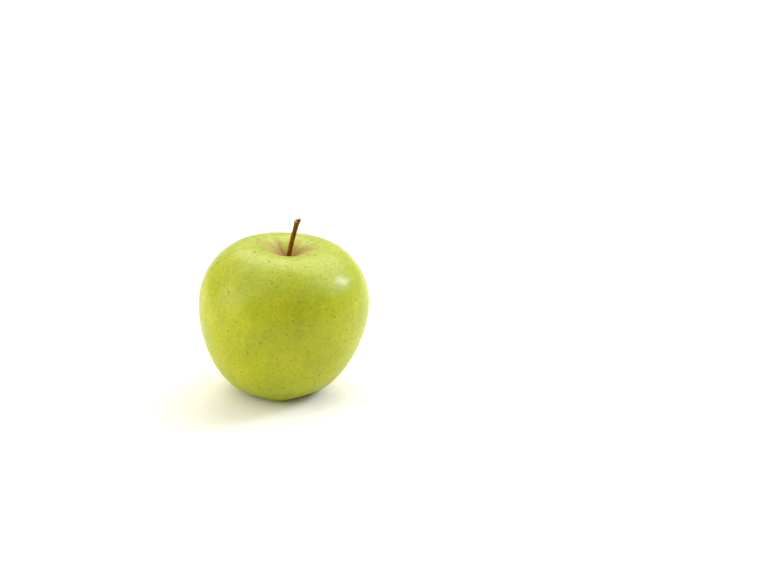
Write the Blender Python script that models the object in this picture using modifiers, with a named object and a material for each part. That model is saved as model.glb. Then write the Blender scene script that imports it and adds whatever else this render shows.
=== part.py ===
"""A whole green apple: the fruit, its woody stem and the dried calyx underneath.

Metres, +Z up. The fruit stands on the five crown lobes round its calyx basin, which touch z = 0, and the
origin is on that resting plane, under the middle of the fruit's box. The fruit leans a little towards +X.
"""

import math

import bmesh
import bpy
from mathutils import Vector

# Fruit: a sphere whose rings are moved out to these sizes.
FRUIT_RADIUS = 0.0379  # half width at mid height, before the upper half's swell
HALF_HEIGHT = 0.0366  # from mid height to the shoulders, and to the crown lobes, before the hollows
FULLNESS = 0.72  # power of the sine of the polar angle: under 1 squares the shoulders
UPPER_SWELL = 0.15  # share by which the upper half is wider and the lower half narrower
CAVITY_DEPTH = 0.0125  # stem cavity, a funnel
CAVITY_SPREAD = 0.0061  # distance from the stem over which the funnel loses 63% of its depth
BASIN_DEPTH = 0.0105  # calyx basin, a round bowl
BASIN_SPREAD = 0.0096  # distance from the calyx over which the bowl loses 63% of its depth
LEAN = 0.0041  # how far the top of the fruit leans towards +X
LEAN_POWER = 1.5  # over 1 leaves the foot upright

# Five carpels show as ribs on the shoulders and as lobes round the calyx basin.
LOBES = 5
LOBE_TURN = math.radians(-20)  # bearing of the first rib and lobe
RIB_SHARE = 0.034  # greatest swell of a rib, as a share of the radius there
LOBE_DROP = 0.0006  # how far a lobe hangs below the mean crown
CROWN_RADIUS = 0.0140  # ring that the lobes stand on
CROWN_SPREAD = 0.0060  # distance from that ring over which a lobe loses 63% of its drop
FOOT_FLAT = 0.0003  # height over which each lobe is flattened where the fruit rests

# Mesh of the fruit.
SEGMENTS = 60
RINGS = 44
POLE_CROWDING = 0.85  # 0 spaces the rings evenly, towards 1 crowds them at the two hollows

# Stem: a stalk that thickens upwards, with its foot set in a socket at the bottom of the stem cavity.
STEM_LENGTH = 0.0230  # from the bottom of the cavity to the tip
STEM_SEAT = 0.0040  # length of stem held in the flesh
STEM_FOOT_RADIUS = 0.00090
STEM_NECK_RADIUS = 0.00120  # just below the tip
STEM_TIP_RADIUS = 0.00170  # the flared scar where it broke from the spur
STEM_FLARE_LENGTH = 0.0040
STEM_LEAN = math.radians(9.5)  # from vertical at the foot, towards +X
STEM_BEND = 0.0019  # how far the tip is carried further towards +X by the stem's bow
STEM_POINTS = 15

# Calyx: a short tube in the middle of the basin, five dried sepals round its mouth, dried stamens in it.
TUBE_RADIUS = 0.0022
TUBE_DEPTH = 0.0035
SEPAL_SETBACK = 0.0009  # from the mouth of the tube to the ring that the sepals stand on
SEPAL_GAP = 0.0006  # between neighbouring sepals at their bases
SEPAL_LENGTH = 0.0062
SEPAL_TIP_WIDTH = 0.0005
SEPAL_TAPER = 1.6  # power of the narrowing: over 1 keeps the base broad
SEPAL_THICKNESS = 0.0005
SEPAL_START = math.radians(-18)  # from straight down: negative leans inwards
SEPAL_END = math.radians(84)  # the tip curls outwards
SEPAL_CUP = 0.0003  # how far the middle of a sepal stands out from its edges
TUFT_TIP_RADIUS = 0.0006
TUFT_ROOM = 0.0010  # open space round the stamens at the bottom of the tube
TUFT_REACH = 0.0022  # how far the stamens stand out of the tube

CLEARANCE = 0.0003  # between any two solids
CUTTER_SIDES = 24
TUFT_SIDES = 12
ABOVE_SOCKET = 0.0050  # how far the socket's cutter runs up the open funnel
SHARP_ANGLE = math.radians(50)

SEPAL_RING = TUBE_RADIUS + SEPAL_SETBACK
SEPAL_WIDTH = 2 * math.pi * SEPAL_RING / LOBES - SEPAL_GAP


def raw_skin(polar, around):
    """A point of the skin about mid height. polar runs from 0 at the stem to pi at the calyx."""
    sine, cosine = math.sin(polar), math.cos(polar)
    reach = FRUIT_RADIUS * max(sine, 0.0) ** FULLNESS * (1 + UPPER_SWELL * cosine)
    height = HALF_HEIGHT * cosine
    lobe = math.cos(LOBES * (around - LOBE_TURN))
    if cosine > 0:
        height -= CAVITY_DEPTH * math.exp(-reach / CAVITY_SPREAD)
    else:
        height += BASIN_DEPTH * math.exp(-((reach / BASIN_SPREAD) ** 2))
        height -= LOBE_DROP * lobe * math.exp(-(((reach - CROWN_RADIUS) / CROWN_SPREAD) ** 2))
    reach *= 1 + RIB_SHARE * sine * cosine**2 * lobe
    return Vector((reach * math.cos(around), reach * math.sin(around), height))


def ring_angle(share):
    """Polar angle of the ring at this share of the way from the stem to the calyx."""
    return math.pi * (share - POLE_CROWDING * math.sin(2 * math.pi * share) / (2 * math.pi))


def skin_extremes():
    """Lowest and highest raw height of the skin, from its rings along the lobes and between them."""
    bearings = [LOBE_TURN, LOBE_TURN + math.pi / LOBES]
    heights = [
        raw_skin(ring_angle(ring / RINGS), around).z for ring in range(RINGS + 1) for around in bearings
    ]
    return min(heights), max(heights)


LOWEST, HIGHEST = skin_extremes()
FOOT = LOWEST + FOOT_FLAT  # raw height of the resting plane
BODY_HEIGHT = HIGHEST - FOOT


def leaned_skin(polar, around):
    """The skin standing on its foot, with its top turned and carried over by the lean."""
    point = raw_skin(polar, around)
    point.z -= FOOT
    rise = max(point.z, 0.0) / BODY_HEIGHT
    point.z -= point.x * LEAN / BODY_HEIGHT * rise
    point.x += LEAN * rise**LEAN_POWER
    return point


def middle_of_skin():
    """Middle of the fruit's box in plan."""
    points = [
        leaned_skin(ring_angle(ring / RINGS), 2 * math.pi * step / SEGMENTS)
        for ring in range(RINGS + 1)
        for step in range(SEGMENTS)
    ]
    middle_x = (min(p.x for p in points) + max(p.x for p in points)) / 2
    middle_y = (min(p.y for p in points) + max(p.y for p in points)) / 2
    return Vector((middle_x, middle_y, 0.0))


MIDDLE = middle_of_skin()


def skin_point(polar, around):
    """The finished skin: over the origin, and flat where the lobes rest."""
    point = leaned_skin(polar, around) - MIDDLE
    point.z = max(point.z, 0.0)
    return point


def make_material(name, colour, roughness):
    """A plain dielectric material. The colour is linear RGB."""
    material = bpy.data.materials.new(name)
    material.use_nodes = True
    shader = material.node_tree.nodes["Principled BSDF"]
    shader.inputs["Base Color"].default_value = (*colour, 1.0)
    shader.inputs["Roughness"].default_value = roughness
    shader.inputs["Metallic"].default_value = 0.0
    return material


def make_collection(name):
    collection = bpy.data.collections.new(name)
    bpy.context.scene.collection.children.link(collection)
    return collection


def add_object(name, data, collection, material=None):
    """A named object for this mesh or curve, in this collection."""
    obj = bpy.data.objects.new(name, data)
    if material:
        data.materials.append(material)
    collection.objects.link(obj)
    return obj


def add_mesh(name, bm, collection, material=None):
    """A named object for this bmesh, shaded smooth away from its sharp edges."""
    mesh = bpy.data.meshes.new(name)
    bm.to_mesh(mesh)
    bm.free()
    mesh.shade_smooth()
    mesh.set_sharp_from_angle(angle=SHARP_ANGLE)
    return add_object(name, mesh, collection, material)


def add_cutter(name, radius, length, collection, target):
    """A round cutter that cuts target and stays out of the render."""
    bm = bmesh.new()
    bmesh.ops.create_cone(
        bm, cap_ends=True, segments=CUTTER_SIDES, radius1=radius, radius2=radius, depth=length
    )
    cutter = add_mesh(name, bm, collection)
    cutter.hide_render = True
    cutter.display_type = "WIRE"
    cut = target.modifiers.new(name, "BOOLEAN")
    cut.operation = "DIFFERENCE"
    cut.solver = "EXACT"
    cut.object = cutter
    return cutter


def make_fruit(collection, material):
    """The fruit: a sphere with its rings crowded at the hollows and moved onto the skin."""
    bm = bmesh.new()
    bmesh.ops.create_uvsphere(bm, u_segments=SEGMENTS, v_segments=RINGS, radius=1.0)
    for vertex in bm.verts:
        share = math.acos(max(-1.0, min(1.0, vertex.co.z))) / math.pi
        around = math.atan2(vertex.co.y, vertex.co.x)
        vertex.co = skin_point(ring_angle(share), around)
    return add_mesh("fruit", bm, collection, material)


def stem_direction():
    """Direction of the stem at its foot."""
    return Vector((math.sin(STEM_LEAN), 0.0, math.cos(STEM_LEAN)))


def stem_centre(distance):
    """Point of the stem's centre line this far above the bottom of the cavity, below it if negative."""
    share = max(distance, 0.0) / STEM_LENGTH
    bow = Vector((STEM_BEND * share**2, 0.0, 0.0))
    return skin_point(0.0, 0.0) + stem_direction() * distance + bow


def stem_radius(distance):
    """Radius of the stem: thin at the foot, thicker at the neck, flared at the broken tip."""
    share = max(distance, 0.0) / STEM_LENGTH
    stalk = STEM_FOOT_RADIUS + (STEM_NECK_RADIUS - STEM_FOOT_RADIUS) * share
    flare = max(0.0, 1 - (STEM_LENGTH - distance) / STEM_FLARE_LENGTH)
    return stalk + (STEM_TIP_RADIUS - STEM_NECK_RADIUS) * flare**2


def make_stem(collection, material):
    """The stem: a bevelled curve from the bottom of its socket to its flared tip."""
    curve = bpy.data.curves.new("stem", "CURVE")
    curve.dimensions = "3D"
    curve.bevel_depth = 1.0  # each point's own radius sets the thickness
    curve.bevel_resolution = 3
    curve.use_fill_caps = True
    spline = curve.splines.new("POLY")
    spline.points.add(STEM_POINTS - 1)
    for index, point in enumerate(spline.points):
        distance = -STEM_SEAT + (STEM_LENGTH + STEM_SEAT) * index / (STEM_POINTS - 1)
        point.co = (*stem_centre(distance), 1.0)
        point.radius = stem_radius(distance)
    return add_object("stem", curve, collection, material)


def cut_stem_socket(fruit, cutters):
    """The hole in the flesh that holds the stem's foot."""
    depth = STEM_SEAT + CLEARANCE
    length = depth + ABOVE_SOCKET
    socket = add_cutter("stem_socket", STEM_FOOT_RADIUS + CLEARANCE, length, cutters, fruit)
    socket.rotation_euler = (0.0, STEM_LEAN, 0.0)
    socket.location = stem_centre(0.0) + stem_direction() * (length / 2 - depth)


def basin_floor():
    """The middle of the calyx basin, as it would be without the calyx tube."""
    return skin_point(math.pi, 0.0)


def cut_calyx_tube(fruit, cutters):
    """The short tube in the middle of the basin that the stamens grow from."""
    tube = add_cutter("calyx_tube", TUBE_RADIUS, 2 * TUBE_DEPTH, cutters, fruit)
    tube.location = basin_floor()


def basin_height(radius, bearing):
    """Height of the basin's skin this far out from its middle, found by halving the angle's range."""
    near, far = math.pi, math.pi / 2
    while near - far > 1e-6:
        middle = (near + far) / 2
        if raw_skin(middle, bearing).xy.length < radius:
            near = middle
        else:
            far = middle
    return skin_point(near, bearing).z


def sepal_point(along, across, bearing):
    """A point of a sepal: along runs from its base to its tip, across from -1 to 1 over its width."""
    bend = SEPAL_END - SEPAL_START
    angle = SEPAL_START + bend * along
    drop = SEPAL_LENGTH / bend * (math.sin(angle) - math.sin(SEPAL_START))
    out = SEPAL_LENGTH / bend * (math.cos(SEPAL_START) - math.cos(angle))
    width = SEPAL_TIP_WIDTH + (SEPAL_WIDTH - SEPAL_TIP_WIDTH) * (1 - along**SEPAL_TAPER)
    radius = SEPAL_RING + out + SEPAL_CUP * (1 - across**2)
    turn = bearing + across * width / 2 / SEPAL_RING
    top = basin_height(SEPAL_RING, bearing) - CLEARANCE - SEPAL_THICKNESS / 2
    plan = basin_floor().xy + radius * Vector((math.cos(turn), math.sin(turn)))
    return Vector((*plan, top - drop))


def make_sepal(index, collection, material):
    """One dried sepal: a curled grid given its thickness."""
    bearing = LOBE_TURN + 2 * math.pi * (index + 0.5) / LOBES
    bm = bmesh.new()
    bmesh.ops.create_grid(bm, x_segments=4, y_segments=8, size=1.0)
    for vertex in bm.verts:
        vertex.co = sepal_point((vertex.co.y + 1) / 2, vertex.co.x, bearing)
    sepal = add_mesh(f"calyx_sepal_{index + 1}", bm, collection, material)
    wall = sepal.modifiers.new("thickness", "SOLIDIFY")
    wall.thickness = SEPAL_THICKNESS
    wall.offset = 0.0
    return sepal


def make_stamens(collection, material):
    """The withered stamens and styles, as one plain tuft standing in the calyx tube."""
    length = TUBE_DEPTH - CLEARANCE + TUFT_REACH
    bm = bmesh.new()
    bmesh.ops.create_cone(
        bm,
        cap_ends=True,
        segments=TUFT_SIDES,
        radius1=TUFT_TIP_RADIUS,
        radius2=TUBE_RADIUS - TUFT_ROOM,
        depth=length,
    )
    tuft = add_mesh("dried_stamens", bm, collection, material)
    tuft.location = basin_floor() + Vector((0.0, 0.0, TUBE_DEPTH - CLEARANCE - length / 2))
    return tuft


def main():
    for obj in list(bpy.data.objects):
        bpy.data.objects.remove(obj)
    parts = make_collection("apple")
    cutters = make_collection("cutters")
    skin = make_material("waxy_green_skin", (0.48, 0.56, 0.055), 0.32)
    wood = make_material("brown_stem", (0.12, 0.055, 0.012), 0.6)
    dry = make_material("dried_calyx", (0.16, 0.12, 0.06), 0.85)
    fruit = make_fruit(parts, skin)
    cut_stem_socket(fruit, cutters)
    cut_calyx_tube(fruit, cutters)
    make_stem(parts, wood)
    for index in range(LOBES):
        make_sepal(index, parts, dry)
    make_stamens(parts, dry)


main()
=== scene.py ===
import math

import bmesh
import bpy
from mathutils import Matrix, Vector, noise


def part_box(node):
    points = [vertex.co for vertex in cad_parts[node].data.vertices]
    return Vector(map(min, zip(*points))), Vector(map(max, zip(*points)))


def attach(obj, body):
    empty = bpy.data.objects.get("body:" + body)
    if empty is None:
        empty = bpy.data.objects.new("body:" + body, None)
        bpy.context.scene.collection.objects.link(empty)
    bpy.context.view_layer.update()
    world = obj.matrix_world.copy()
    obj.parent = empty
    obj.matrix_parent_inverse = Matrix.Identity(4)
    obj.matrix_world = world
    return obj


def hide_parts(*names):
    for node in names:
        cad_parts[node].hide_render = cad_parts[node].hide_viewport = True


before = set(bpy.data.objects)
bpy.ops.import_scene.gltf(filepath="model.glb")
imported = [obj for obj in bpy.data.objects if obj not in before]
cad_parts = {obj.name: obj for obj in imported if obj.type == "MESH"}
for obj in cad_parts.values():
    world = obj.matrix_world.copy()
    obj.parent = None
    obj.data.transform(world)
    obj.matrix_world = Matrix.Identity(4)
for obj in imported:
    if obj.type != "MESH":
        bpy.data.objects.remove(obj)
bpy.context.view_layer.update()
mm = 0.001


def linearColour(text):
    # "#rrggbb" as people read it on screen, turned to the linear values that the nodes take
    parts = [int(text[i:i + 2], 16) / 255 for i in (1, 3, 5)]
    return tuple(c / 12.92 if c <= 0.04045 else ((c + 0.055) / 1.055) ** 2.4 for c in parts) + (1.0,)


def feedNode(tree, node, feeds):
    # a socket is linked to the input it is given for, and anything else becomes that input's value
    for key, value in feeds.items():
        if isinstance(value, bpy.types.NodeSocket):
            tree.links.new(value, node.inputs[key])
        else:
            node.inputs[key].default_value = value


def addNode(tree, kind, feeds=None, **settings):
    # settings are the node's own options
    node = tree.nodes.new(kind)
    for option, value in settings.items():
        setattr(node, option, value)
    feedNode(tree, node, feeds or {})
    return node


def addSteps(tree, known, steps):
    # a recipe written out step by step: each names its result, what is done, and what it is done to
    for result, operation, *taken in steps:
        values = [known.get(item, item) for item in taken]
        if operation in ("LINEAR", "SMOOTHSTEP"):  # a value, the range it is in and the range it goes to
            feeds = dict(zip(("Value", "From Min", "From Max", "To Min", "To Max"), values))
            node = addNode(tree, "ShaderNodeMapRange", feeds, interpolation_type=operation)
        elif operation == "MIX":  # how much of the second colour, then the two colours
            node = addNode(tree, "ShaderNodeMix", dict(zip((0, 6, 7), values)), data_type="RGBA")
        elif operation == "RAMP":  # a value, then the place and colour of each stop
            node = addNode(tree, "ShaderNodeValToRGB", {0: values[0]})
            first, *between, last = values[1:]
            stops = node.color_ramp.elements
            stops[0].position, stops[0].color = first[0], known[first[1]]
            stops[1].position, stops[1].color = last[0], known[last[1]]
            for position, colour in between:
                stops.new(position).color = known[colour]
        else:
            node = addNode(tree, "ShaderNodeMath", dict(enumerate(values)), operation=operation)
        known[result] = node.outputs[2 if operation == "MIX" else 0]


def namedColours(look):
    return {name: linearColour(value) for name, value in look.items() if isinstance(value, str)}


def newTree(name, wanted):
    # a geometry tree with a named input for each entry of wanted
    tree = bpy.data.node_groups.new(name, "GeometryNodeTree")
    tree.interface.new_socket("Geometry", in_out="INPUT", socket_type="NodeSocketGeometry")
    for label, value in wanted.items():
        kind = {float: "Float", int: "Int"}.get(type(value), "Vector")
        if isinstance(value, bpy.types.Object):
            kind = "Object"
        if isinstance(value, bpy.types.Material):
            kind = "Material"
        tree.interface.new_socket(label, in_out="INPUT", socket_type="NodeSocket" + kind)
    tree.interface.new_socket("Geometry", in_out="OUTPUT", socket_type="NodeSocketGeometry")
    return tree, addNode(tree, "NodeGroupInput").outputs


def growMesh(name, tree, wanted, mesh=None):
    # runs the tree once on a mesh and keeps the plain result
    piece = bpy.data.objects.new(name, mesh or bpy.data.meshes.new(name))
    bpy.context.scene.collection.objects.link(piece)
    grow = piece.modifiers.new("grow", "NODES")
    grow.node_group = tree
    for item in tree.interface.items_tree:
        if item.in_out == "INPUT" and item.name in wanted:
            grow[item.identifier] = wanted[item.name]
    graph = bpy.context.evaluated_depsgraph_get()
    grown = bpy.data.meshes.new_from_object(piece.evaluated_get(graph), depsgraph=graph)
    piece.modifiers.remove(grow)
    piece.data = grown
    grown.name = name
    return piece


def endTree(tree, geometry, material):
    real = addNode(tree, "GeometryNodeRealizeInstances", {0: geometry})
    painted = addNode(tree, "GeometryNodeSetMaterial", {"Geometry": real.outputs[0], "Material": material})
    addNode(tree, "NodeGroupOutput", {0: painted.outputs[0]})


def newMaterial(name):
    material = bpy.data.materials.new(name)
    material.use_nodes = True
    tree = material.node_tree
    return material, tree, tree.nodes["Principled BSDF"]


# fruit skin: cuticle wax over living green and yellow cells, so a soft gloss over a clouded colour
skinLook = {
    "green": "#9ba405",
    "middle": "#a6ab0a",
    "yellow": "#b2b114",
    "shade": "#919704",
    "shoulder": "#9eab34",
    "wisp": "#c3c67c",
    "pale": "#bfc254",
    "russet": "#b58a52",
    "russetDeep": "#85602c",
    "dust": "#6f5f2c",
    "cloudSize": 17 * mm,
    "streakWidth": 4.5 * mm,
    "girthRadius": 34 * mm,  # how far from the axis a streak has its width
    "fleckSize": 1.6 * mm,
    "speckSize": 1.3 * mm,
    "crumbSize": 2.5 * mm,
    "poreSize": 0.5 * mm,
    "shoulderShare": 0.5,
    "speckPale": 0.2,
    "wispPale": 0.17,
    "wispTurns": 13.0,
    "lineTurns": 13.0,
    "rayTurns": 3.6,
    "rayFloor": 0.42,  # higher leaves fewer rays
    "rayLength": 55 * mm,
    "rayRough": 7 * mm,
    "solidRadius": 4.6 * mm,  # inside it the cork has no gaps between rays
    "longAxis": (0.966, -0.259, 0.0),
    "longExtra": 3.6 * mm,
    "toneAway": 55.0,  # the cork pales outwards, by this much a metre
    "toneLine": 0.6,
    "waxRoughness": 0.46,
    "corkRoughness": 0.6,
    "waxCoat": 0.3,
    "corkCoat": 0.02,
}


def makeSkin():
    look = skinLook
    material, tree, shader = newMaterial("waxed_fruit_skin")
    place = addNode(tree, "ShaderNodeTexCoord").outputs["Object"]
    outward = addNode(tree, "ShaderNodeAttribute", attribute_name="outward").outputs["Vector"]
    known = namedColours(look)
    for stored in ("axisReach", "ringShare", "dotGap"):
        known[stored] = addNode(tree, "ShaderNodeAttribute", attribute_name=stored).outputs["Fac"]

    # what runs from stem to calyx is read where it turns fast round the axis and drifts slowly along it:
    # a pattern's name, its turns, and its drift for each metre of x, y and z
    at = {"place": place}
    for name, turns, drift in (("streak", look["girthRadius"] / look["streakWidth"], (0.0, 0.0, 45.0)),
                               ("wisp", look["wispTurns"], (70.0, 70.0, 70.0)),
                               ("line", look["lineTurns"], (60.0, 60.0, 60.0)),
                               ("ray", look["rayTurns"], (0.0, 0.0, 0.0))):
        drifted = addNode(tree, "ShaderNodeVectorMath", {0: place, 1: drift}, operation="MULTIPLY")
        feeds = {0: outward, 1: (turns, turns, turns), 2: drifted.outputs[0]}
        at[name] = addNode(tree, "ShaderNodeVectorMath", feeds, operation="MULTIPLY_ADD").outputs[0]

    # the patterns: where each is read, the size of its grain, its octaves, how rough and how warped it is
    for name, where, size, octaves, rough, warp in (
            ("clouds", "place", look["cloudSize"], 2.0, 0.5, 0.0),
            ("streaks", "streak", 1.0, 3.0, 0.55, 0.6),
            ("wisps", "wisp", 1.0, 3.0, 0.6, 0.4),
            ("flecks", "place", look["fleckSize"], 2.0, 0.6, 0.0),
            ("specks", "place", look["speckSize"], 2.0, 0.55, 0.0),
            ("rays", "ray", 1.0, 5.0, 0.7, 0.0),
            ("lines", "line", 1.0, 3.0, 0.6, 0.0),
            ("crumbs", "place", look["crumbSize"], 4.0, 0.65, 0.0),
            ("pores", "place", look["poreSize"], 2.0, 0.5, 0.0)):
        feeds = {"Vector": at[where], "Scale": 1 / size, "Detail": octaves, "Roughness": rough,
                 "Distortion": warp}
        known[name] = addNode(tree, "ShaderNodeTexNoise", feeds).outputs[0]

    addSteps(tree, known, [
        # soft clouds of yellow and green, a few to a side, and faint streaks from stem to calyx
        ("cloudy", "RAMP", "clouds", (0.28, "green"), (0.5, "middle"), (0.74, "yellow")),
        ("streakHere", "SMOOTHSTEP", "streaks", 0.44, 0.66, 0.0, 0.4),
        ("streaked", "MIX", "streakHere", "cloudy", "shade"),
        # the shoulders round the stem ripen last and stay a cooler green
        ("shoulderHere", "SMOOTHSTEP", "ringShare", 0.36, 0.16, 0.0, look["shoulderShare"]),
        ("shouldered", "MIX", "shoulderHere", "streaked", "shoulder"),
        # pale wisps of wax comb out over the shoulders from the stem cavity
        ("wispShape", "SMOOTHSTEP", "wisps", 0.48, 0.68, 0.0, 1.0),
        ("wispNear", "LINEAR", "ringShare", 0.24, 0.12, 0.0, look["wispPale"]),
        ("wispHere", "MULTIPLY", "wispShape", "wispNear"),
        ("combed", "MIX", "wispHere", "shouldered", "wisp"),
        # cells just under the cuticle show as small paler and darker flecks
        ("fleckLight", "LINEAR", "flecks", 0.32, 0.68, 0.89, 1.11),
    ])
    feeds = {"Value": known["fleckLight"], "Color": known["combed"]}
    known["flecked"] = addNode(tree, "ShaderNodeHueSaturation", feeds).outputs[0]
    feeds = {0: outward, 1: look["longAxis"]}
    known["side"] = addNode(tree, "ShaderNodeVectorMath", feeds, operation="DOT_PRODUCT").outputs["Value"]
    addSteps(tree, known, [
        # scattered milky specks where air lies between the cells, and a pale ring round each corky dot
        ("speckHere", "SMOOTHSTEP", "specks", 0.48, 0.7, 0.0, look["speckPale"]),
        ("specked", "MIX", "speckHere", "flecked", "pale"),
        ("halo", "SMOOTHSTEP", "dotGap", 0.1 * mm, 1.1 * mm, 0.08, 0.0),
        ("ringed", "MIX", "halo", "specked", "pale"),
        # russet: tan cork in the stem cavity that runs out over the shoulders in rays of unequal length
        ("rayOver", "SUBTRACT", "rays", look["rayFloor"]),
        ("rayLong", "MULTIPLY", "rayOver", look["rayLength"]),
        ("rayEnd", "MAXIMUM", "rayLong", 0.0),
        ("crumbOver", "SUBTRACT", "crumbs", 0.5),
        ("crumbLong", "MULTIPLY", "crumbOver", look["rayRough"]),
        ("endRough", "ADD", "rayEnd", "crumbLong"),
        # the two longest sides of the star lie across from each other
        ("sideBoth", "MULTIPLY", "side", "side"),
        ("sideLong", "MULTIPLY", "sideBoth", look["longExtra"]),
        ("endUneven", "ADD", "endRough", "sideLong"),
        ("end", "ADD", "endUneven", look["solidRadius"]),
        ("inside", "SUBTRACT", "end", "axisReach"),
        ("cork", "SMOOTHSTEP", "inside", -0.6 * mm, 2.4 * mm, 0.0, 0.95),
        ("topSide", "LINEAR", "ringShare", 0.5, 0.45, 0.0, 1.0),
        ("corkTop", "MULTIPLY", "cork", "topSide"),
        # further out the cork breaks up into thin lines, with green skin between them
        ("gaps", "SMOOTHSTEP", "lines", 0.55, 0.45, 0.0, 1.0),
        ("outer", "LINEAR", "axisReach", 3.0 * mm, 7.5 * mm, 0.0, 0.92),
        ("gapHere", "MULTIPLY", "gaps", "outer"),
        ("lineHere", "SUBTRACT", 1.0, "gapHere"),
        ("corkHere", "MULTIPLY", "corkTop", "lineHere"),
        ("toneAway", "MULTIPLY", "axisReach", look["toneAway"]),
        ("toneLine", "MULTIPLY", "gaps", look["toneLine"]),
        ("toneCrumb", "ADD", "toneAway", "crumbOver"),
        ("toneAll", "ADD", "toneCrumb", "toneLine"),
        ("tone", "LINEAR", "toneAll", 0.0, 1.0, 0.0, 1.0),
        ("corkColour", "MIX", "tone", "russetDeep", "russet"),
        ("corked", "MIX", "corkHere", "ringed", "corkColour"),
        # the basin underneath stays greener, and dust gathers round the calyx
        ("basinHere", "SMOOTHSTEP", "ringShare", 0.72, 0.97, 0.0, 0.75),
        ("basined", "MIX", "basinHere", "corked", "shade"),
        ("dustHere", "SMOOTHSTEP", "ringShare", 0.93, 0.985, 0.0, 0.85),
        ("dusty", "MIX", "dustHere", "basined", "dust"),
        # wax is smooth, cork is dull
        ("shine", "LINEAR", "corkHere", 0.0, 1.0, look["waxRoughness"], look["corkRoughness"]),
        ("coat", "LINEAR", "corkHere", 0.0, 1.0, look["waxCoat"], look["corkCoat"]),
        # pores: the cuticle's own grain, drawn at half a millimetre so that it shows
        ("grain", "MULTIPLY_ADD", "crumbs", "corkHere", "pores"),
    ])
    feeds = {"Height": known["grain"], "Distance": 0.03 * mm, "Strength": 0.35}
    bump = addNode(tree, "ShaderNodeBump", feeds)
    feedNode(tree, shader, {
        "Base Color": known["dusty"],
        "Roughness": known["shine"],
        "Coat Weight": known["coat"],
        "Normal": bump.outputs[0],
        "IOR": 1.4,
        "Specular IOR Level": 0.22,
        "Subsurface Weight": 0.25,
        "Subsurface Radius": (1.0, 0.85, 0.2),
        "Subsurface Scale": 3 * mm,
        "Coat Roughness": 0.2,
        "Coat IOR": 1.45,
    })
    return material


# fruit: a ball whose rings move out to the fruit's own outline, with its two hollows, lobes and lean
fruitSizes = {
    "Segments": 360,
    "Rings": 240,
    "Radius": 37.9 * mm,
    "Half height": 36.6 * mm,
    "Fullness": 0.72,  # 1 is a ball, and less is squarer at the shoulders
    "Upper swell": 0.15,
    "Cavity depth": 12.5 * mm,
    "Cavity spread": 6.9 * mm,
    "Basin depth": 10.5 * mm,
    "Basin spread": 9.6 * mm,
    "Lean": 4.1 * mm,
    "Lean curve": 1.5,  # more keeps the lean to the upper half
    "Lobe turn": math.radians(-20),
    "Rib share": 0.034,
    "Lobe drop": 0.6 * mm,
    "Lobe radius": 14 * mm,
    "Lobe spread": 6 * mm,
    "Foot flat": 0.3 * mm,
    "Crowding": 0.95,  # how far the rings gather at the two hollows, from 0 to 1
    "Socket radius": 1.05 * mm,
    "Socket ease": 0.14 * mm,
    "Socket depth": 4.3 * mm,
    "Stem lean": math.radians(9.5),
    "Tube radius": 2.2 * mm,
    "Tube ease": 0.5 * mm,
    "Tube depth": 3.5 * mm,
    "Swell share": 0.008,
    "Swell size": 24 * mm,
    "Dimple share": 0.0028,
    "Dimple size": 9 * mm,
    "Pleat depth": 0.55 * mm,
    "Pleat radius": 6.5 * mm,
    "Pleat spread": 3.0 * mm,
    "Pleat turns": 3.6,
}


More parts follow.
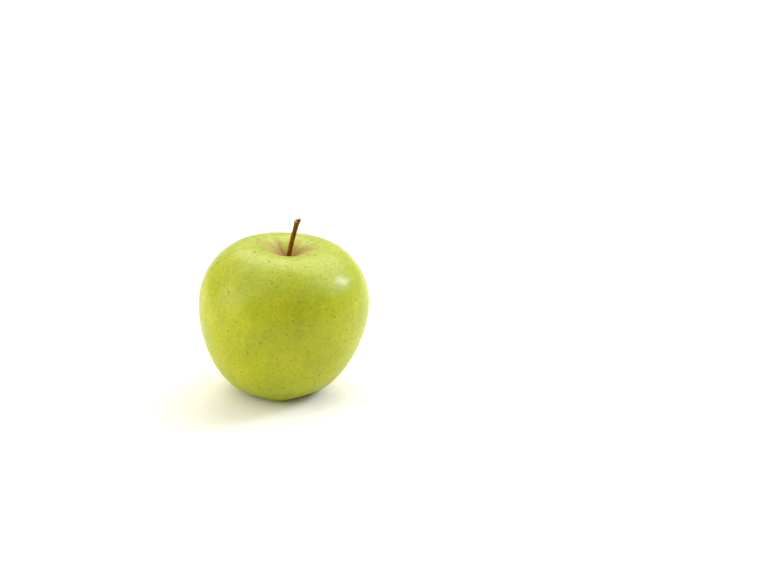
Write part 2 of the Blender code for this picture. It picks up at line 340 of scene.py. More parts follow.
def makeFruit(skin):
    low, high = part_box("fruit")
    wanted = dict(fruitSizes, Low=low, High=high, Skin=skin)
    tree, sizes = newTree("fruitGrowth", wanted)
    known = {label: sizes[label] for label in wanted}
    feeds = {"Segments": sizes["Segments"], "Rings": sizes["Rings"], "Radius": 1.0}
    ball = addNode(tree, "GeometryNodeMeshUVSphere", feeds)
    at = addNode(tree, "GeometryNodeInputPosition").outputs[0]
    axes = addNode(tree, "ShaderNodeSeparateXYZ", {0: at}).outputs
    known.update(x=axes["X"], y=axes["Y"], z=axes["Z"])
    addSteps(tree, known, [
        # rings crowd at the two hollows, then move out to the fruit's own width
        ("start", "ARCCOSINE", "z"),
        ("twice", "MULTIPLY", "start", 2.0),
        ("wave", "SINE", "twice"),
        ("halfCrowd", "MULTIPLY", "Crowding", -0.5),
        ("polar", "MULTIPLY_ADD", "wave", "halfCrowd", "start"),
        ("share", "DIVIDE", "polar", math.pi),
        ("sine", "SINE", "polar"),
        ("cosine", "COSINE", "polar"),
        ("full", "POWER", "sine", "Fullness"),
        ("swollen", "MULTIPLY_ADD", "cosine", "Upper swell", 1.0),
        ("wide", "MULTIPLY", "full", "Radius"),
        ("reach", "MULTIPLY", "wide", "swollen"),
        ("around", "ARCTAN2", "y", "x"),
        ("outX", "COSINE", "around"),
        ("outY", "SINE", "around"),
        # five lobes, as the core has five cells
        ("turned", "SUBTRACT", "around", "Lobe turn"),
        ("fiveTurns", "MULTIPLY", "turned", 5.0),
        ("lobe", "COSINE", "fiveTurns"),
        # the hollow of each end fades out across the widest ring
        ("top", "SMOOTHSTEP", "cosine", -0.15, 0.15, 0.0, 1.0),
        ("bottom", "SUBTRACT", 1.0, "top"),
        ("swellScale", "DIVIDE", 1.0, "Swell size"),
        ("dimpleScale", "DIVIDE", 1.0, "Dimple size"),
    ])
    outward = addNode(tree, "ShaderNodeCombineXYZ", {0: known["outX"], 1: known["outY"]}).outputs[0]
    feeds = {"Vector": outward, "Scale": sizes["Pleat turns"], "Detail": 2.0}
    known["pleat"] = addNode(tree, "ShaderNodeTexNoise", feeds).outputs[0]
    for result, radius, spread in (("lobeHere", "Lobe radius", "Lobe spread"),
                                   ("pleatHere", "Pleat radius", "Pleat spread")):
        addSteps(tree, known, [
            ("from", "SUBTRACT", "reach", radius),
            ("far", "DIVIDE", "from", spread),
            ("square", "MULTIPLY", "far", "far"),
            ("minus", "MULTIPLY", "square", -1.0),
            (result, "EXPONENT", "minus"),
        ])
    addSteps(tree, known, [
        ("tall", "MULTIPLY", "cosine", "Half height"),
        ("funnelAt", "DIVIDE", "reach", "Cavity spread"),
        ("funnelMinus", "MULTIPLY", "funnelAt", -1.0),
        ("funnel", "EXPONENT", "funnelMinus"),
        ("funnelDeep", "MULTIPLY", "funnel", "Cavity depth"),
        ("funnelTop", "MULTIPLY", "funnelDeep", "top"),
        ("bowlAt", "DIVIDE", "reach", "Basin spread"),
        ("bowlSquare", "MULTIPLY", "bowlAt", "bowlAt"),
        ("bowlMinus", "MULTIPLY", "bowlSquare", -1.0),
        ("bowl", "EXPONENT", "bowlMinus"),
        ("bowlDeep", "MULTIPLY", "bowl", "Basin depth"),
        ("lobeAt", "MULTIPLY", "lobe", "Lobe drop"),
        ("lobeDeep", "MULTIPLY", "lobeAt", "lobeHere"),
        # small pleats run down into the basin between the lobes
        ("pleatOver", "SUBTRACT", "pleat", 0.5),
        ("pleatTall", "MULTIPLY", "pleatOver", "Pleat depth"),
        ("pleatMore", "MULTIPLY", "pleatTall", 3.0),
        ("pleatDeep", "MULTIPLY", "pleatMore", "pleatHere"),
        ("lowA", "SUBTRACT", "bowlDeep", "lobeDeep"),
        ("lowB", "ADD", "lowA", "pleatDeep"),
        ("lowC", "MULTIPLY", "lowB", "bottom"),
        ("shoulder", "SUBTRACT", "tall", "funnelTop"),
        ("height", "ADD", "shoulder", "lowC"),
        ("ribA", "MULTIPLY", "cosine", "cosine"),
        ("ribB", "MULTIPLY", "ribA", "sine"),
        ("ribC", "MULTIPLY", "ribB", "Rib share"),
        ("rib", "MULTIPLY_ADD", "ribC", "lobe", 1.0),
        ("ribbed", "MULTIPLY", "reach", "rib"),
        ("rawX", "MULTIPLY", "outX", "ribbed"),
        ("rawY", "MULTIPLY", "outY", "ribbed"),
    ])
    feeds = {0: known["rawX"], 1: known["rawY"], 2: known["height"]}
    raw = addNode(tree, "ShaderNodeCombineXYZ", feeds).outputs[0]
    # the fruit is never quite regular: broad swellings and shallow dimples of a fraction of a millimetre
    for name, scale, detail in (("swelling", "swellScale", 1.5), ("dimpling", "dimpleScale", 1.0)):
        feeds = {"Vector": raw, "Scale": known[scale], "Detail": detail}
        known[name] = addNode(tree, "ShaderNodeTexNoise", feeds).outputs[0]
    addSteps(tree, known, [
        ("swellOver", "SUBTRACT", "swelling", 0.5),
        ("swellAt", "MULTIPLY", "swellOver", "Swell share"),
        ("dimpleOver", "SUBTRACT", "dimpling", 0.5),
        ("dimpleAt", "MULTIPLY_ADD", "dimpleOver", "Dimple share", "swellAt"),
        ("swellBy", "MULTIPLY_ADD", "dimpleAt", 2.0, 1.0),
    ])
    feeds = {0: raw, "Scale": known["swellBy"]}
    uneven = addNode(tree, "ShaderNodeVectorMath", feeds, operation="SCALE").outputs[0]
    body = ball.outputs["Mesh"]
    for label, kind, value in (("outward", "FLOAT_VECTOR", outward),
                               ("axisReach", "FLOAT", known["reach"]),
                               ("ringShare", "FLOAT", known["share"])):
        feeds = {"Geometry": body, "Name": label, "Value": value}
        noted = addNode(tree, "GeometryNodeStoreNamedAttribute", feeds, data_type=kind, domain="POINT")
        body = noted.outputs[0]
    body = addNode(tree, "GeometryNodeSetPosition", {"Geometry": body, "Position": uneven}).outputs[0]

    # the foot: everything under the resting plane is flattened, and the top is carried over by the lean
    extent = addNode(tree, "GeometryNodeBoundBox", {0: body}).outputs
    here = addNode(tree, "ShaderNodeSeparateXYZ", {0: at}).outputs
    known.update(hereX=here["X"], hereY=here["Y"], hereZ=here["Z"],
                 lowest=addNode(tree, "ShaderNodeSeparateXYZ", {0: extent["Min"]}).outputs["Z"],
                 highest=addNode(tree, "ShaderNodeSeparateXYZ", {0: extent["Max"]}).outputs["Z"])
    for stored in ("axisReach", "ringShare"):
        read = addNode(tree, "GeometryNodeInputNamedAttribute", {"Name": stored}, data_type="FLOAT")
        known[stored] = read.outputs[0]
    addSteps(tree, known, [
        ("foot", "ADD", "lowest", "Foot flat"),
        ("bodyTall", "SUBTRACT", "highest", "foot"),
        ("stood", "SUBTRACT", "hereZ", "foot"),
        ("aboveFoot", "MAXIMUM", "stood", 0.0),
        ("rise", "DIVIDE", "aboveFoot", "bodyTall"),
        ("tiltA", "MULTIPLY", "hereX", "Lean"),
        ("tiltB", "DIVIDE", "tiltA", "bodyTall"),
        ("tiltC", "MULTIPLY", "tiltB", "rise"),
        ("leanedZ", "SUBTRACT", "stood", "tiltC"),
        ("footedZ", "MAXIMUM", "leanedZ", 0.0),
        ("carried", "POWER", "rise", "Lean curve"),
        ("leanedX", "MULTIPLY_ADD", "carried", "Lean", "hereX"),
        # socket for the stem's foot, along the stem, and the short tube in the middle of the basin
        ("socketEdge", "ADD", "Socket radius", "Socket ease"),
        ("tubeEdge", "ADD", "Tube radius", "Tube ease"),
        ("isTop", "LESS_THAN", "ringShare", 0.5),
        ("isBottom", "SUBTRACT", 1.0, "isTop"),
        ("stemX", "SINE", "Stem lean"),
        ("stemZ", "COSINE", "Stem lean"),
        ("socket", "SMOOTHSTEP", "axisReach", "socketEdge", "Socket radius", 0.0, 1.0),
        ("tube", "SMOOTHSTEP", "axisReach", "tubeEdge", "Tube radius", 0.0, 1.0),
        ("socketTop", "MULTIPLY", "socket", "isTop"),
        ("sink", "MULTIPLY", "socketTop", "Socket depth"),
        ("sinkX", "MULTIPLY", "sink", "stemX"),
        ("sinkZ", "MULTIPLY", "sink", "stemZ"),
        ("tubeLow", "MULTIPLY", "tube", "isBottom"),
        ("lift", "MULTIPLY", "tubeLow", "Tube depth"),
        ("endX", "SUBTRACT", "leanedX", "sinkX"),
        ("endA", "SUBTRACT", "footedZ", "sinkZ"),
        ("endZ", "ADD", "endA", "lift"),
    ])
    feeds = {0: known["endX"], 1: known["hereY"], 2: known["endZ"]}
    stood = addNode(tree, "ShaderNodeCombineXYZ", feeds).outputs[0]
    body = addNode(tree, "GeometryNodeSetPosition", {"Geometry": body, "Position": stood}).outputs[0]

    # last, it is fitted into the box of the fruit in the frame
    extent = addNode(tree, "GeometryNodeBoundBox", {0: body}).outputs
    fitted = addNode(tree, "ShaderNodeMapRange", data_type="FLOAT_VECTOR")
    for label, source in (("Vector", at),
                          ("From_Min_FLOAT3", extent["Min"]), ("From_Max_FLOAT3", extent["Max"]),
                          ("To_Min_FLOAT3", sizes["Low"]), ("To_Max_FLOAT3", sizes["High"])):
        tree.links.new(source, next(entry for entry in fitted.inputs if entry.identifier == label))
    feeds = {"Geometry": body, "Position": fitted.outputs["Vector"]}
    body = addNode(tree, "GeometryNodeSetPosition", feeds).outputs[0]
    smooth = addNode(tree, "GeometryNodeSetShadeSmooth", {"Geometry": body}).outputs[0]
    endTree(tree, smooth, sizes["Skin"])
    return growMesh("fruit_body", tree, wanted)


# lenticels: corky breathing pores, dull and brown to olive, scattered over the skin in two sizes
dotLook = {
    "brown": "#927709",
    "olive": "#83880a",
    "radius": 0.48 * mm,
    "proud": 0.05 * mm,
    "apart": 5.6 * mm,
    "perSquareMetre": 26000.0,
    "seed": 5,
    # how crowded, from 0 at the stem to 1 at the calyx: none down in the two hollows
    "spots": ((0.035, 0.0), (0.06, 0.9), (0.5, 0.85), (0.8, 1.0), (0.93, 0.0)),
}
fineDotLook = dict(dotLook, brown="#86740a", olive="#7f8508", radius=0.31 * mm, proud=0.03 * mm,
                   apart=2.9 * mm, perSquareMetre=70000.0, seed=11)
# russet crumbs on the lip of the stem cavity
lipDotLook = dict(dotLook, brown="#96652a", olive="#867218", radius=0.42 * mm, proud=0.03 * mm,
                  apart=2.2 * mm, perSquareMetre=100000.0, seed=3,
                  spots=((0.042, 0.0), (0.055, 0.85), (0.1, 0.7), (0.135, 0.0)))


def makeDotCork(name, look):
    material, tree, shader = newMaterial(name)
    known = namedColours(look)
    known["tone"] = addNode(tree, "ShaderNodeAttribute", attribute_name="tone").outputs["Fac"]
    addSteps(tree, known, [("cork", "MIX", "tone", "brown", "olive")])
    feedNode(tree, shader, {"Base Color": known["cork"], "Roughness": 0.7, "Specular IOR Level": 0.05})
    return material


def makeDots(name, fruit, look, cork):
    wanted = {"Fruit": fruit, "Radius": look["radius"], "Proud": look["proud"], "Apart": look["apart"],
              "Density": look["perSquareMetre"], "Seed": look["seed"], "Cork": cork}
    tree, sizes = newTree(name + "Scatter", wanted)
    source = addNode(tree, "GeometryNodeObjectInfo", {"Object": sizes["Fruit"]}).outputs["Geometry"]
    share = addNode(tree, "GeometryNodeInputNamedAttribute", {"Name": "ringShare"}, data_type="FLOAT")
    clear = addNode(tree, "ShaderNodeFloatCurve", {"Value": share.outputs[0]})
    curve = clear.mapping.curves[0]
    curve.points[0].location, curve.points[1].location = (0.0, 0.0), (1.0, 0.0)
    for spot in look["spots"]:
        curve.points.new(*spot)
    clear.mapping.update()
    points = addNode(tree, "GeometryNodeDistributePointsOnFaces",
                     {"Mesh": source, "Distance Min": sizes["Apart"], "Density Max": sizes["Density"],
                      "Density Factor": clear.outputs[0], "Seed": sizes["Seed"]},
                     distribute_method="POISSON").outputs
    grain = addNode(tree, "GeometryNodeMeshUVSphere", {"Segments": 9, "Rings": 5, "Radius": 1.0})
    known = {"Radius": sizes["Radius"]}
    for value, least, most, seed in (("size", 0.55, 1.1, 1), ("longer", 0.8, 1.25, 2),
                                     ("tone", 0.0, 1.0, 3)):
        feeds = {2: least, 3: most, "Seed": seed}
        known[value] = addNode(tree, "FunctionNodeRandomValue", feeds, data_type="FLOAT").outputs[1]
    addSteps(tree, known, [("wide", "MULTIPLY", "size", "Radius"), ("long", "MULTIPLY", "wide", "longer")])
    feeds = {0: known["wide"], 1: known["long"], 2: sizes["Proud"]}
    scale = addNode(tree, "ShaderNodeCombineXYZ", feeds).outputs[0]
    feeds = {"Points": points["Points"], "Instance": grain.outputs["Mesh"], "Rotation": points["Rotation"],
             "Scale": scale}
    placed = addNode(tree, "GeometryNodeInstanceOnPoints", feeds).outputs[0]
    feeds = {"Geometry": placed, "Name": "tone", "Value": known["tone"]}
    toned = addNode(tree, "GeometryNodeStoreNamedAttribute", feeds, data_type="FLOAT", domain="INSTANCE")
    smooth = addNode(tree, "GeometryNodeSetShadeSmooth", {"Geometry": toned.outputs[0]}).outputs[0]
    endTree(tree, smooth, sizes["Cork"])
    return growMesh(name, tree, wanted)


def markDots(fruit, dots, skin):
    # the skin learns how far each of its points is from a dot, for the pale ring
    wanted = {"Dots": dots, "Skin": skin}
    tree, sizes = newTree("lenticelRings", wanted)
    spots = addNode(tree, "GeometryNodeObjectInfo", {"Object": sizes["Dots"]}).outputs["Geometry"]
    near = addNode(tree, "GeometryNodeProximity", {0: spots}, target_element="FACES").outputs["Distance"]
    feeds = {"Geometry": sizes["Geometry"], "Name": "dotGap", "Value": near}
    marked = addNode(tree, "GeometryNodeStoreNamedAttribute", feeds, data_type="FLOAT", domain="POINT")
    endTree(tree, marked.outputs[0], sizes["Skin"])
    ready = growMesh("fruit_marked", tree, wanted, fruit.data)
    fruit.data = ready.data
    bpy.data.objects.remove(ready)


# stem: a woody stalk, ridged lengthwise, with the open scar where it left the spur
stemSizes = {
    "length": 23 * mm,
    "seat": 4 * mm,
    "footRadius": 0.90 * mm,
    "neckRadius": 1.20 * mm,
    "tipRadius": 1.70 * mm,
    "flareLength": 4 * mm,
    "lean": math.radians(9.5),
    "bend": 1.5 * mm,
    "sides": 72,
    "rings": 150,
    "twist": 0.35,
    # ridges, fibres and knobs, as shares of the radius
    "ridge": 0.088,
    "fibre": 0.03025,
    "knob": 0.07,
    "scarSlant": 0.9 * mm,
    "scarTilt": (0.6, 0.35, 0.0),
    "scarRagged": 0.25 * mm,
    "scarDepth": 1.1 * mm,
    "scarRim": 0.12 * mm,
    "capRings": 12,
    "pitAside": (0.5 * mm, 0.35 * mm, 0.0),
}
stemLook = {
    "bark": "#7a5006",
    "dark": "#502f02",
    "light": "#926d12",
    "scar": "#b5875a",
    "pit": "#4a2209",
    "fibre": 0.5 * mm,
    "fibreStretch": 0.09,
}


def makeStemBark():
    look = stemLook
    material, tree, shader = newMaterial("brown_woody_stalk")
    place = addNode(tree, "ShaderNodeTexCoord").outputs["Object"]
    # fibres run up the stalk: fine across it and stretched along it
    fine = 1 / look["fibre"]
    feeds = {"Vector": place, "Scale": (fine, fine, fine * look["fibreStretch"])}
    fibre = addNode(tree, "ShaderNodeMapping", feeds).outputs[0]
    feeds = {"Vector": fibre, "Scale": 1.0, "Detail": 4.0, "Roughness": 0.6, "Distortion": 0.4}
    known = dict(namedColours(look), grain=addNode(tree, "ShaderNodeTexNoise", feeds).outputs[0])
    for stored in ("scarShare", "alongStalk"):
        known[stored] = addNode(tree, "ShaderNodeAttribute", attribute_name=stored).outputs["Fac"]
    addSteps(tree, known, [
        ("fibres", "RAMP", "grain", (0.36, "dark"), (0.52, "bark"), (0.66, "light")),
        ("face", "RAMP", "scarShare", (0.07, "dark"), (0.2, "scar"), (0.4, "scar"), (0.56, "pit")),
        # the foot is darker: partly its own browner wood, and partly painted shade where it sits down in
        # the cavity
        ("damp", "LINEAR", "alongStalk", 0.2, 0.5, 0.75, 0.0),
        ("stalk", "MIX", "damp", "fibres", "dark"),
        ("onFace", "LINEAR", "scarShare", 0.02, 0.12, 0.0, 1.0),
        ("colour", "MIX", "onFace", "stalk", "face"),
    ])
    feeds = {"Height": known["grain"], "Distance": 0.08 * mm, "Strength": 0.6}
    bump = addNode(tree, "ShaderNodeBump", feeds)
    feedNode(tree, shader, {"Base Color": known["colour"], "Normal": bump.outputs[0], "Roughness": 0.6,
                            "Specular IOR Level": 0.05})
    return material


def stemCentre(distance):
    share = max(distance, 0.0) / stemSizes["length"]
    lean = stemSizes["lean"]
    aside = math.sin(lean) * distance + stemSizes["bend"] * share ** 2
    return Vector((aside, 0.0, math.cos(lean) * distance))


def stemRadius(distance):
    s = stemSizes
    share = max(distance, 0.0) / s["length"]
    stalk = s["footRadius"] + (s["neckRadius"] - s["footRadius"]) * share
    flare = max(0.0, 1 - (s["length"] - distance) / s["flareLength"])
    return stalk + (s["tipRadius"] - s["neckRadius"]) * flare ** 2


def stemBump(turn, wide, rise):
    # smooth unevenness read on a circle, so that it meets itself all the way round
    return noise.noise(Vector((math.cos(turn) * wide, math.sin(turn) * wide, rise)))


def makeStem(bark):
    s = stemSizes
    bm = bmesh.new()
    scarLayer = bm.verts.layers.float.new("scarShare")
    footLayer = bm.verts.layers.float.new("alongStalk")
    rows = []
    for ring in range(s["rings"] + 1):
        distance = -s["seat"] + (s["length"] + s["seat"]) * ring / s["rings"]
        near = max(0.0, 1 - (s["length"] - distance) / s["flareLength"])
        row = []
        for side in range(s["sides"]):
            turn = 2 * math.pi * side / s["sides"]
            out = Vector((math.cos(turn), math.sin(turn), 0.0))
            # five or six blunt ridges that wander a little, fine fibres on them, and knobs near the tip
            twist = turn + s["twist"] * noise.noise(Vector((0, 0, distance * 90)))
            uneven = s["ridge"] * stemBump(twist, 1.6, distance * 60)
            uneven += s["fibre"] * stemBump(twist, 7, distance * 110 + 5)
            uneven += s["knob"] * near * stemBump(turn, 1, distance * 320 + 9)
            point = stemCentre(distance) + out * stemRadius(distance) * (1 + uneven)
            # the break is slanted and ragged
            slant = s["scarSlant"] * out.dot(Vector(s["scarTilt"]))
            point.z += near ** 2 * (slant + s["scarRagged"] * noise.noise(out * 2.3))
            vertex = bm.verts.new(point)
            vertex[footLayer] = ring / s["rings"]
            row.append(vertex)
        rows.append(row)
    top = rows[-1]
    # the scar dips from its rim to the pit where the vessels tore, off to one side
    pit = sum((v.co for v in top), Vector()) / len(top) + Vector(s["pitAside"])
    for step in range(1, s["capRings"]):
        share = step / s["capRings"]
        row = []
        for edge in top:
            point = edge.co.lerp(pit, share)
            rough = 1 + 0.25 * noise.noise(Vector((point.x, point.y, 0)) * 2200)
            point.z -= s["scarDepth"] * share ** 1.4 * rough - s["scarRim"] * math.sin(math.pi * share)
            vertex = bm.verts.new(point)
            vertex[scarLayer] = share
            row.append(vertex)
        rows.append(row)
    end = bm.verts.new(pit - Vector((0, 0, s["scarDepth"])))
    end[scarLayer] = 1.0
    start = bm.verts.new(stemCentre(-s["seat"]))
    count = s["sides"]
    for lower, upper in zip(rows, rows[1:]):
        for side in range(count):
            after = (side + 1) % count
            bm.faces.new((lower[side], lower[after], upper[after], upper[side]))
    for side in range(count):
        after = (side + 1) % count
        bm.faces.new((rows[-1][side], rows[-1][after], end))
        bm.faces.new((rows[0][after], rows[0][side], start))
    bmesh.ops.recalc_face_normals(bm, faces=bm.faces)
    mesh = bpy.data.meshes.new("stalk")
    bm.to_mesh(mesh)
    bm.free()
    mesh.shade_smooth()
    # it stands in the stem's box in the frame: on its floor, against its left side
    low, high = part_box("stem")
    left = min(v.co.x for v in mesh.vertices)
    foot = min(v.co.z for v in mesh.vertices)
    mesh.transform(Matrix.Translation((low.x - left, (low.y + high.y) / 2, low.z - foot)))
    mesh.materials.append(bark)
    stem = bpy.data.objects.new("stalk", mesh)
    bpy.context.scene.collection.objects.link(stem)
    return stem


# calyx: five sepals dried to brown paper with grey wool on them
sepalSizes = {
    "length": 6.2 * mm,
    "tipWidth": 0.35 * mm,
    "start": math.radians(-18),
    "end": math.radians(84),
    "cup": 0.35 * mm,
    "wave": 0.22 * mm,
    "crease": 0.12 * mm,
    "crumple": 0.16 * mm,
    "twist": 0.10,
    "thickness": 0.22 * mm,
    "across": 14,
    "along": 40,
    "ring": 3.1 * mm,
    "gap": 0.5 * mm,
    "hairLength": 0.6 * mm,
    "hairRadius": 0.016 * mm,
    "hairsPerSquareMetre": 1.9e7,  # 19 to a square millimetre
}
calyxLook = {
    "leaf": "#6d5c38",
    "leafDark": "#3c2f1b",
    "leafPale": "#93855c",
    "wool": "#b9b193",
    "stamen": "#4a3420",
    "anther": "#2b1c10",
    "blotchSize": 1.1 * mm,
    "shadeSize": 0.8 * mm,
}


def makeSepalLeaf():
    material, tree, shader = newMaterial("dried_sepal_leaf")
    place = addNode(tree, "ShaderNodeTexCoord").outputs["Object"]
    feeds = {"Vector": place, "Scale": 1 / calyxLook["blotchSize"], "Detail": 5.0, "Roughness": 0.65}
    known = dict(namedColours(calyxLook), blotch=addNode(tree, "ShaderNodeTexNoise", feeds).outputs[0])
    addSteps(tree, known, [
        ("colour", "RAMP", "blotch", (0.32, "leafDark"), (0.5, "leaf"), (0.72, "leafPale")),
    ])
    feeds = {"Height": known["blotch"], "Distance": 0.1 * mm, "Strength": 0.7}
    bump = addNode(tree, "ShaderNodeBump", feeds)
    feedNode(tree, shader, {"Base Color": known["colour"], "Normal": bump.outputs[0], "Roughness": 0.85})
    return material


def makeWool():
    material, tree, shader = newMaterial("grey_sepal_wool")
    feedNode(tree, shader, {"Base Color": linearColour(calyxLook["wool"]), "Roughness": 0.7,
                            "Sheen Weight": 0.4})
    return material


def sepalPoint(along, across, index, centre, bearing, top):
    s = sepalSizes
    bend = s["end"] - s["start"]
    angle = s["start"] + bend * along
    drop = s["length"] / bend * (math.sin(angle) - math.sin(s["start"]))
    out = s["length"] / bend * (math.cos(s["start"]) - math.cos(angle))
    base = 2 * math.pi * s["ring"] / 5 - s["gap"]
    width = s["tipWidth"] + (base - s["tipWidth"]) * (1 - along ** 1.6)
    # dry edges are crimped, and the tip twists
    wave = s["wave"] * across ** 2 * math.sin(along * 13 + index * 2.1 + across)
    crease = s["crease"] * math.exp(-(across / 0.16) ** 2)
    crumple = s["crumple"] * noise.noise(Vector((along * 4 + index * 7, across * 2.4, 0.5)))
    radius = s["ring"] + out + s["cup"] * (1 - across ** 2) + wave + crumple - crease
    turn = bearing + across * width / 2 / s["ring"] + s["twist"] * along ** 2 * math.sin(index * 2.4)
    away = Vector((math.cos(turn), math.sin(turn), 0.0))
    return Vector((centre.x, centre.y, top - drop - 0.3 * abs(wave))) + away * radius


def makeSepal(index, leaf, wool):
    s = sepalSizes
    node = f"calyx_sepal_{index + 1}"
    low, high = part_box(node)
    stamenLow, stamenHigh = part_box("dried_stamens")
    centre = (stamenLow + stamenHigh) / 2
    middle = (low + high) / 2
    bearing = math.atan2(middle.y - centre.y, middle.x - centre.x)
    bm = bmesh.new()
    rows = []
    for j in range(s["along"] + 1):
        along = j / s["along"]
        places = [sepalPoint(along, i / s["across"] * 2 - 1, index, centre, bearing, high.z)
                  for i in range(s["across"] + 1)]
        rows.append([bm.verts.new(place) for place in places])
    for lower, upper in zip(rows, rows[1:]):
        for i in range(s["across"]):
            bm.faces.new((lower[i], lower[i + 1], upper[i + 1], upper[i]))
    mesh = bpy.data.meshes.new(node)
    bm.to_mesh(mesh)
    bm.free()
    mesh.shade_smooth()
    sheet = bpy.data.objects.new(node + "_sheet", mesh)
    bpy.context.scene.collection.objects.link(sheet)
    wall = sheet.modifiers.new("thickness", "SOLIDIFY")
    wall.thickness = s["thickness"]
    wall.offset = 0.0
    graph = bpy.context.evaluated_depsgraph_get()
    closed = bpy.data.meshes.new_from_object(sheet.evaluated_get(graph), depsgraph=graph)
    bpy.data.objects.remove(sheet)

    # wool: short hairs that stand on the leaf and lean every way
    wanted = {"Leaf": leaf, "Wool": wool, "Length": s["hairLength"], "Thickness": s["hairRadius"],
              "Density": s["hairsPerSquareMetre"], "Seed": index}
    tree, sizes = newTree("sepalWool", wanted)
    feeds = {"Geometry": sizes["Geometry"], "Material": sizes["Leaf"]}
    painted = addNode(tree, "GeometryNodeSetMaterial", feeds).outputs[0]
    feeds = {"Mesh": sizes["Geometry"], "Density": sizes["Density"], "Seed": sizes["Seed"]}
    spots = addNode(tree, "GeometryNodeDistributePointsOnFaces", feeds).outputs
    feeds = {"Vertices": 3, "Radius Top": 0.0, "Radius Bottom": sizes["Thickness"],
             "Depth": sizes["Length"]}
    hair = addNode(tree, "GeometryNodeMeshCone", feeds, fill_type="NGON").outputs["Mesh"]
    feeds = {0: (-1.0, -1.0, 0.0), 1: (1.0, 1.0, 6.28), "Seed": 4}
    leaning = addNode(tree, "FunctionNodeRandomValue", feeds, data_type="FLOAT_VECTOR").outputs[0]
    feeds = {0: spots["Rotation"], 1: leaning}
    turned = addNode(tree, "FunctionNodeRotateRotation", feeds, rotation_space="LOCAL").outputs[0]
    size = addNode(tree, "FunctionNodeRandomValue", {2: 0.35, 3: 1.0, "Seed": 5}, data_type="FLOAT")
    feeds = {"Points": spots["Points"], "Instance": hair, "Rotation": turned, "Scale": size.outputs[1]}
    fuzz = addNode(tree, "GeometryNodeInstanceOnPoints", feeds).outputs[0]
    real = addNode(tree, "GeometryNodeRealizeInstances", {0: fuzz}).outputs[0]
    woolly = addNode(tree, "GeometryNodeSetMaterial", {"Geometry": real, "Material": sizes["Wool"]})
    both = addNode(tree, "GeometryNodeJoinGeometry")
    for part in (woolly.outputs[0], painted):
        tree.links.new(part, both.inputs[0])
    addNode(tree, "NodeGroupOutput", {0: both.outputs[0]})
    return growMesh(f"sepal_{index + 1}", tree, wanted, closed)


# stamens: a tuft of withered threads with shrunken anthers
tuftSizes = {
    "Count": 32,
    "Thread": 0.09 * mm,
    "Anther": 0.3 * mm,
}


def makeStamens(threadStuff):
    low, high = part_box("dried_stamens")
    base = Vector(((low.x + high.x) / 2, (low.y + high.y) / 2, high.z))
    wanted = dict(tuftSizes, Tall=high.z - low.z, Wide=(high.x - low.x) / 2, Base=base, Stuff=threadStuff)
    tree, sizes = newTree("stamenTuft", wanted)
    known = {label: sizes[label] for label in wanted}
    where = addNode(tree, "GeometryNodeInputPosition").outputs[0]
    axes = addNode(tree, "ShaderNodeSeparateXYZ", {0: where}).outputs
    known.update(x=axes["X"], y=axes["Y"])
    for value, least, most, seed in (("jitter", -0.35, 0.35, 7), ("size", 0.62, 1.0, 8),
                                     ("shrink", 0.3, 1.0, 9)):
        feeds = {2: least, 3: most, "Seed": seed}
        known[value] = addNode(tree, "FunctionNodeRandomValue", feeds, data_type="FLOAT").outputs[1]
    addSteps(tree, known, [
        # each thread hangs down, bows outwards and ends a little inwards
        ("inner", "MULTIPLY", "Wide", -0.2),
        ("half", "MULTIPLY", "Wide", 0.25),
        ("down", "MULTIPLY", "Tall", -1.0),
        ("midDown", "MULTIPLY", "Tall", -0.55),
        ("ringRadius", "MULTIPLY", "Wide", 0.92),
        ("bearing", "ARCTAN2", "y", "x"),
        ("turn", "ADD", "bearing", "jitter"),
    ])
    bendPoint = addNode(tree, "ShaderNodeCombineXYZ", {0: known["half"], 2: known["midDown"]}).outputs[0]
    tipPoint = addNode(tree, "ShaderNodeCombineXYZ", {0: known["inner"], 2: known["down"]}).outputs[0]
    feeds = {"Resolution": 9, "Start": (0.0, 0.0, 0.0), "Middle": bendPoint, "End": tipPoint}
    line = addNode(tree, "GeometryNodeCurveQuadraticBezier", feeds).outputs[0]
    feeds = {"Resolution": 6, "Radius": sizes["Thread"]}
    section = addNode(tree, "GeometryNodeCurvePrimitiveCircle", feeds, mode="RADIUS").outputs["Curve"]
    feeds = {"Curve": line, "Profile Curve": section, "Fill Caps": True}
    thread = addNode(tree, "GeometryNodeCurveToMesh", feeds).outputs[0]
    feeds = {"Segments": 8, "Rings": 6, "Radius": sizes["Anther"]}
    head = addNode(tree, "GeometryNodeMeshUVSphere", feeds).outputs["Mesh"]
    feeds = {"Geometry": head, "Translation": tipPoint, "Scale": (0.8, 1.0, 1.5)}
    hung = addNode(tree, "GeometryNodeTransform", feeds).outputs[0]
    stamen = addNode(tree, "GeometryNodeJoinGeometry")
    for part in (hung, thread):
        tree.links.new(part, stamen.inputs[0])
    feeds = {"Vertices": sizes["Count"], "Radius": known["ringRadius"]}
    ring = addNode(tree, "GeometryNodeMeshCircle", feeds).outputs["Mesh"]
    turned = addNode(tree, "ShaderNodeCombineXYZ", {2: known["turn"]}).outputs[0]
    feeds = {0: where, "Scale": known["shrink"]}
    pulled = addNode(tree, "ShaderNodeVectorMath", feeds, operation="SCALE").outputs[0]
    spread = addNode(tree, "GeometryNodeSetPosition", {"Geometry": ring, "Position": pulled}).outputs[0]
    feeds = {"Points": spread, "Instance": stamen.outputs[0], "Rotation": turned, "Scale": known["size"]}
    tuft = addNode(tree, "GeometryNodeInstanceOnPoints", feeds).outputs[0]
    moved = addNode(tree, "GeometryNodeTransform", {"Geometry": tuft, "Translation": sizes["Base"]})
    smooth = addNode(tree, "GeometryNodeSetShadeSmooth", {"Geometry": moved.outputs[0]}).outputs[0]
    endTree(tree, smooth, sizes["Stuff"])
    return growMesh("stamen_tuft", tree, wanted)


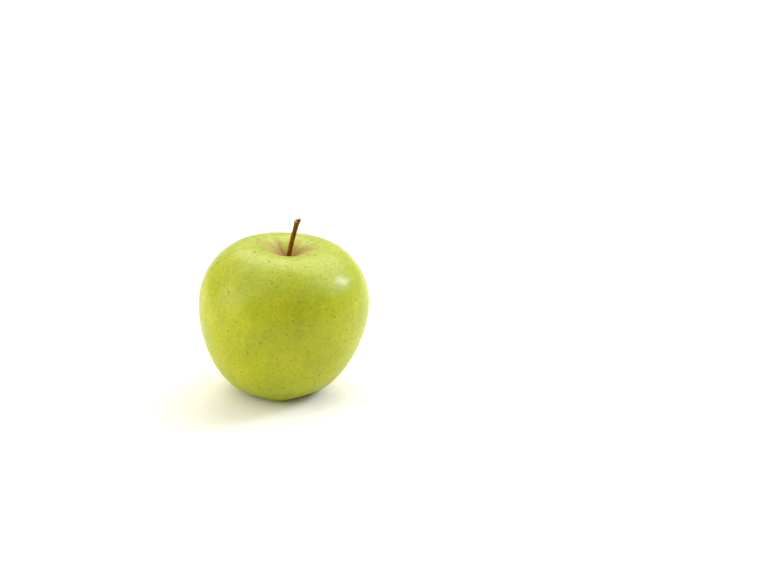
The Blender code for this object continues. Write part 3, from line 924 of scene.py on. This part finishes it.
def makeStamenThread():
    material, tree, shader = newMaterial("withered_stamen")
    place = addNode(tree, "ShaderNodeTexCoord").outputs["Object"]
    feeds = {"Vector": place, "Scale": 1 / calyxLook["shadeSize"], "Detail": 3.0}
    known = dict(namedColours(calyxLook), shade=addNode(tree, "ShaderNodeTexNoise", feeds).outputs[0])
    addSteps(tree, known, [("colour", "MIX", "shade", "anther", "stamen")])
    feedNode(tree, shader, {"Base Color": known["colour"], "Roughness": 0.8})
    return material


# floor, light and camera
stageSetup = {
    "floorSize": 30.0,
    "floorColour": "#f8f5e8",
    "skyColour": "#ffffff",
    "skyStrength": 0.45,
    "sunBearing": -78,
    "sunElevation": 52,
    "sunDistance": 1.5,
    "sunWidth": math.radians(60),
    "sunStrength": 1.18,
    "cameraDistance": 1.1,
    "cameraElevation": math.radians(22),
    "subjectHeight": 36 * mm,
    "aimBeside": 46.2 * mm,
    "aimAbove": 10.05 * mm,
    "fieldWidth": 349 * mm,
    "sensor": 36.0,
}
lamps = {
    # name: bearing and elevation in degrees, distance, width, height, watts, colour
    "keyWindow": (104, 31, 1.1, 0.26, 0.3, 7.0, "#c9d6ff"),
    "keyGlow": (100, 38, 1.2, 0.8, 0.8, 5.0, "#ffffff"),
    "topStrip": (168, 52, 1.3, 1.5, 1.0, 15.0, "#ffffff"),
    "leftBox": (-80, 12, 1.6, 1.1, 1.1, 12.0, "#ffffff"),
}


def hangLamp(light, bearing, elevation, distance):
    # bearing 0 is on the camera's side and 90 to its right; the lamp looks at the middle of the fruit
    turn, up = math.radians(bearing), math.radians(elevation)
    back = Vector((math.sin(turn) * math.cos(up), -math.cos(turn) * math.cos(up), math.sin(up)))
    lamp = bpy.data.objects.new(light.name, light)
    lamp.location = Vector((0.0, 0.0, stageSetup["subjectHeight"])) + back * distance
    lamp.rotation_euler = (-back).to_track_quat("-Z", "Y").to_euler()
    bpy.context.scene.collection.objects.link(lamp)


def makeStage():
    s = stageSetup
    bpy.ops.mesh.primitive_plane_add(size=s["floorSize"])
    floor = bpy.context.object
    floor.name = "floor"
    # matt paper, a little warm, so that the shadow under the fruit is not blue
    paper, tree, shader = newMaterial("warm_white_studio_paper")
    feedNode(tree, shader, {"Base Color": linearColour(s["floorColour"]), "Roughness": 0.9,
                            "Specular IOR Level": 0.1})
    floor.data.materials.append(paper)
    world = bpy.data.worlds.new("studio")
    world.use_nodes = True
    sky = world.node_tree.nodes["Background"]
    feedNode(world.node_tree, sky, {"Color": linearColour(s["skyColour"]), "Strength": s["skyStrength"]})
    bpy.context.scene.world = world
    sun = bpy.data.lights.new("overheadSoftLight", "SUN")
    sun.angle = s["sunWidth"]
    sun.energy = s["sunStrength"]
    hangLamp(sun, s["sunBearing"], s["sunElevation"], s["sunDistance"])
    for name, (bearing, elevation, distance, width, height, watts, tint) in lamps.items():
        light = bpy.data.lights.new(name, "AREA")
        light.color = linearColour(tint)[:3]
        light.shape = "RECTANGLE"
        light.size = width
        light.size_y = height
        light.energy = watts
        hangLamp(light, bearing, elevation, distance)
    bpy.context.scene.view_settings.view_transform = "Standard"


def makeCamera():
    s = stageSetup
    up = s["cameraElevation"]
    subject = Vector((0.0, 0.0, s["subjectHeight"]))
    toCamera = Vector((0.0, -math.cos(up), math.sin(up)))
    pictureUp = Vector((0.0, math.sin(up), math.cos(up)))
    aim = subject + Vector((s["aimBeside"], 0.0, 0.0)) + pictureUp * s["aimAbove"]
    lens = bpy.data.cameras.new("camera")
    lens.sensor_width = s["sensor"]
    lens.lens = s["sensor"] * s["cameraDistance"] / s["fieldWidth"]
    camera = bpy.data.objects.new("camera", lens)
    camera.location = subject + toCamera * s["cameraDistance"]
    camera.rotation_euler = (aim - camera.location).to_track_quat("-Z", "Y").to_euler()
    bpy.context.scene.collection.objects.link(camera)
    bpy.context.scene.camera = camera


skin = makeSkin()
fruit = makeFruit(skin)
print("fruit grown:", len(fruit.data.vertices), "points")
dots = makeDots("lenticels", fruit, dotLook, makeDotCork("cork_of_lenticels", dotLook))
fineDots = makeDots("fine_lenticels", fruit, fineDotLook, makeDotCork("young_lenticel_cork", fineDotLook))
lipCork = makeDotCork("lip_lenticel_cork", lipDotLook)
lipDots = makeDots("cavity_lip_lenticels", fruit, lipDotLook, lipCork)
markDots(fruit, dots, skin)
print("lenticels scattered:", len(dots.data.polygons), "faces")
stem = makeStem(makeStemBark())
print("stem built")
leaf, wool = makeSepalLeaf(), makeWool()
sepals = [makeSepal(index, leaf, wool) for index in range(5)]
tuft = makeStamens(makeStamenThread())
print("calyx built")

for piece, slot, nodes in ((fruit, "skin", ["fruit"]), (dots, "skin", []), (fineDots, "skin", []),
                           (lipDots, "skin", []),
                           (stem, "stem_wood", ["stem"]), (tuft, "dried_stamen", ["dried_stamens"])):
    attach(piece, "root")
    if nodes:
        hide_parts(*nodes)
for index, sepal in enumerate(sepals):
    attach(sepal, "root")
    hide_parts(f"calyx_sepal_{index + 1}")

makeStage()
makeCamera()
print("stage set")
